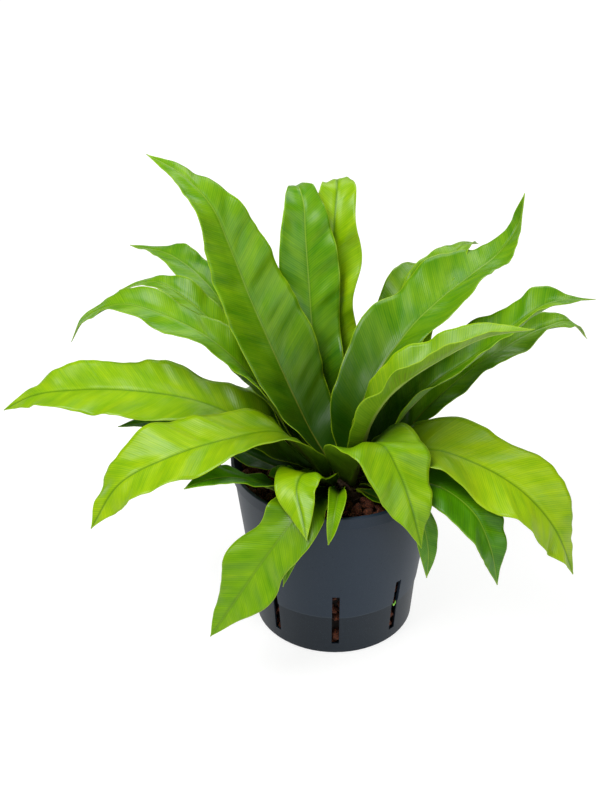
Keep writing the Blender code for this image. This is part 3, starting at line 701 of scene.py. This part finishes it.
def addPebble(bm, spot, radius, number):
    made = bmesh.ops.create_icosphere(bm, subdivisions=2, radius=radius)["verts"]
    turn = Matrix.Rotation(number * 2.4, 3, Vector((math.sin(number), math.cos(number * 1.7), 0.6)))
    squash = Vector((1.0, 0.92 - 0.12 * math.sin(number * 3.1), 0.82))
    offset = Vector((number * 3.3, 0, 0))
    for vert in made:
        lump = 1 + clay["lumps"] * noise.noise(vert.co * clay["lumpCount"] + offset)
        vert.co = spot + turn @ (vert.co * squash * lump)


def makeTopPebbles(bm):
    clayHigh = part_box("clay_granules")[1]
    number = 0
    pitch = clay["pitch"] * mm
    steps = int(2 * clayHigh.x / pitch) + 2
    places = [(layer, row, column) for layer in range(clay["topLayers"])
              for row in range(steps) for column in range(steps)]
    for layer, row, column in places:
        number += 1
        jitter = Vector((math.sin(number * 12.9898), math.sin(number * 78.233), 0)) * 0.24 * pitch
        x = (column - steps / 2 + 0.5 * (row % 2) + 0.5 * layer) * pitch
        y = (row - steps / 2 + 0.4 * layer) * pitch * 0.87
        share = 0.5 + 0.5 * math.sin(number * 4.1)
        size = clay["small"] + (clay["large"] - clay["small"]) * share
        drop = clay["topDrop"] + clay["layerDrop"] * layer
        spot = Vector((x, y, clayHigh.z - drop * mm)) + jitter
        spot.z += (0.9 * math.sin(number * 2.7) - 0.25 * (size - 4.0)) * mm
        room = insideRadius(spot.z) - size * mm - 0.3 * mm
        if spot.xy.length > room + 0.6 * pitch:
            continue
        if spot.xy.length > room:
            spot.xy = spot.xy.normalized() * room
        if (spot.xy - crown.xy).length < crownRadius + (size - 1.5) * mm:
            continue
        addPebble(bm, spot, min(size * mm, (clayHigh.z - spot.z) / 0.98), number)


def makeSlotPebbles(bm):  # pebbles that show through the wall's slots, with dark gaps between
    number = 900
    places = [(slot, level, aside) for slot in range(clay["slots"])
              for level in range(clay["slotRows"]) for aside in (-1, 0, 1)]
    for slot, level, aside in places:
        number += 1
        if math.sin(number * 7.7) > 0.66:
            continue
        size = (3.4 + 1.5 * math.sin(number * 1.9)) * mm
        height = (7 + level * clay["slotPitch"] + 1.6 * aside + 2.0 * math.sin(number * 2.3)) * mm
        around = slot * math.tau / clay["slots"] + aside * 0.125 + 0.035 * math.sin(number * 5.2)
        inset = (0.6 + 0.5 * math.sin(number * 3.7)) * mm
        depth = insideRadius(height) - size - inset
        spot = Vector((depth * math.cos(around), depth * math.sin(around), height))
        addPebble(bm, spot, size, number)


# seedling: two small leaves in the right-hand slot
seedling = {
    "turn": -45,             # degrees
    "away": 52.2,            # mm from the pot's axis
    "height": 28.5,          # mm above the ground
    "width": 1.5,            # mm
    "length": 3.6,           # mm
    "patches": 2.0,          # mm
}


def makeSeedling(mat):
    bm = bmesh.new()
    for number in (0, 1):
        made = bmesh.ops.create_grid(bm, x_segments=4, y_segments=6, size=0.5)["verts"]
        for vert in made:
            up = vert.co.y + 0.5
            taper = math.sin(min(1.0, up + 0.1) * math.pi) ** 0.8
            aside = vert.co.x * seedling["width"] * taper + (0.8 - 1.7 * number) * up * 1.6
            away = seedling["away"] + 0.3 * math.sin(up * 3)
            high = seedling["height"] + (seedling["length"] - 0.9 * number) * up
            turn = Matrix.Rotation(math.radians(seedling["turn"]), 3, "Z")
            vert.co = turn @ Vector((away, aside, high)) * mm
    bmesh.ops.solidify(bm, geom=bm.faces[:], thickness=0.25 * mm)
    addPiece("slotSeedling", bm, [mat])


def makeCore(mat):
    bm = bmesh.new()
    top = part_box("clay_granules")[1].z - clay["coreDrop"] * mm
    step, foot, gap = potLook["stepHeight"] * mm, clay["coreFoot"] * mm, clay["coreGap"] * mm
    outline = [(0.0, top), (insideRadius(top) - 3 * mm, top), (insideRadius(step) - gap, step),
               (insideRadius(3 * mm) - gap, foot), (0.0, foot)]
    points = [bm.verts.new((radius, 0, height)) for radius, height in outline]
    edges = [bm.edges.new(pair) for pair in zip(points, points[1:])]
    bmesh.ops.spin(bm, geom=points + edges, cent=(0, 0, 0), axis=(0, 0, 1), angle=math.tau,
                   steps=64, use_merge=True)
    bmesh.ops.remove_doubles(bm, verts=bm.verts, dist=0.01 * mm)
    bmesh.ops.recalc_face_normals(bm, faces=bm.faces)
    addPiece("clayCoreInShade", bm, [mat], sharp=40)


pebbles = bmesh.new()
makeTopPebbles(pebbles)
makeSlotPebbles(pebbles)
addPiece("clayPebbles", pebbles, [makeClaySkin()], stands=["clay_granules"])
makeCore(makeShadedCore())
makeSeedling(makeSproutSkin())
print("clay pebbles made")


# root ball: the CAD solid itself, with a felt of roots for its look
roots = {"strand": 1.429}    # mm, a little coarser than real so that the strands show


def makeRootSkin():  # wiry fern roots felted together, almost black when damp
    mat, tree = newMaterial("feltedFernRoot")
    spot = addNode(tree, "TexCoord", out="Object")
    stretched = addNode(tree, "Mapping", [("Vector", spot), ("Scale", (1.0, 1.0, 0.25))])
    strand = addNode(tree, "TexNoise", [
        ("Vector", stretched), ("Scale", 1 / (roots["strand"] * mm)), ("Detail", 3.0)])
    colour = addNode(tree, "ValToRGB", [(0, strand)], stops=[
        (0.35, "#140B06"), (0.6, "#33200F"), (0.8, "#58402A")])
    bump = addNode(tree, "Bump", [("Height", strand), ("Strength", 0.8), ("Distance", 0.5 * mm)])
    skin = addNode(tree, "BsdfPrincipled", [("Base Color", colour), ("Roughness", 0.95),
                                            ("Normal", bump)])
    addNode(tree, "OutputMaterial", [(0, skin)])
    return mat


nodes["root_ball"].data.materials.clear()
nodes["root_ball"].data.materials.append(makeRootSkin())
print("roots made")


# studio: pale floor, soft overhead light and a camera above the rim
studio = {
    "cameraPlace": (-22.1, -939.8, 774.5),   # mm
    "cameraPitch": 33.24,
    "lens": 83.4,
    "key": dict(place=(-0.55, -0.35, 1.35), size=0.8, power=25),
    "fill": dict(place=(0.9, -0.9, 0.8), size=1.0, power=9),
    "rim": dict(place=(0.3, 1.0, 1.1), size=0.9, power=9),
    "sky": 0.2,
    "floorGlow": 0.8,
}


def makeFloor():  # white card, lit from within a little so that it stays clean around the pot
    bm = bmesh.new()
    bmesh.ops.create_grid(bm, x_segments=1, y_segments=1, size=6.0)
    mesh = bpy.data.meshes.new("floor")
    bm.to_mesh(mesh)
    bm.free()
    floor = bpy.data.objects.new("floor", mesh)
    mat, tree = newMaterial("paleStudioFloor")
    skin = addNode(tree, "BsdfPrincipled", [
        ("Base Color", "#909090"), ("Roughness", 0.9), ("Specular IOR Level", 0.1),
        ("Emission Color", "#FFFFFF"), ("Emission Strength", studio["floorGlow"])])
    addNode(tree, "OutputMaterial", [(0, skin)])
    mesh.materials.append(mat)
    collection.objects.link(floor)


def makeLight(name, place, size, power):
    lamp = bpy.data.lights.new(name, "AREA")
    lamp.size = size
    lamp.energy = power
    light = bpy.data.objects.new(name, lamp)
    light.location = place
    aim = Vector((0, 0, 0.13)) - Vector(place)
    light.rotation_euler = aim.to_track_quat("-Z", "Y").to_euler()
    collection.objects.link(light)


def makeStudio():
    makeFloor()
    for name in ("key", "fill", "rim"):
        makeLight(name + "Light", **studio[name])
    world = bpy.data.worlds.new("softWhite")
    bpy.context.scene.world = world
    world.use_nodes = True
    tree = world.node_tree
    tree.nodes.clear()
    seen = addNode(tree, "LightPath", out="Is Camera Ray")
    strength = addNode(tree, "MapRange", [(0, seen), (3, studio["sky"]), (4, 1.0)])
    sky = addNode(tree, "Background", [("Color", "#FFFFFF"), ("Strength", strength)])
    addNode(tree, "OutputWorld", [(0, sky)])
    lens = bpy.data.cameras.new("camera")
    lens.lens = studio["lens"]
    lens.clip_end = 20
    camera = bpy.data.objects.new("camera", lens)
    camera.location = Vector(studio["cameraPlace"]) * mm
    camera.rotation_euler = (math.radians(90 - studio["cameraPitch"]), 0, 0)
    collection.objects.link(camera)
    bpy.context.scene.camera = camera
    bpy.context.scene.view_settings.view_transform = "Standard"


makeStudio()
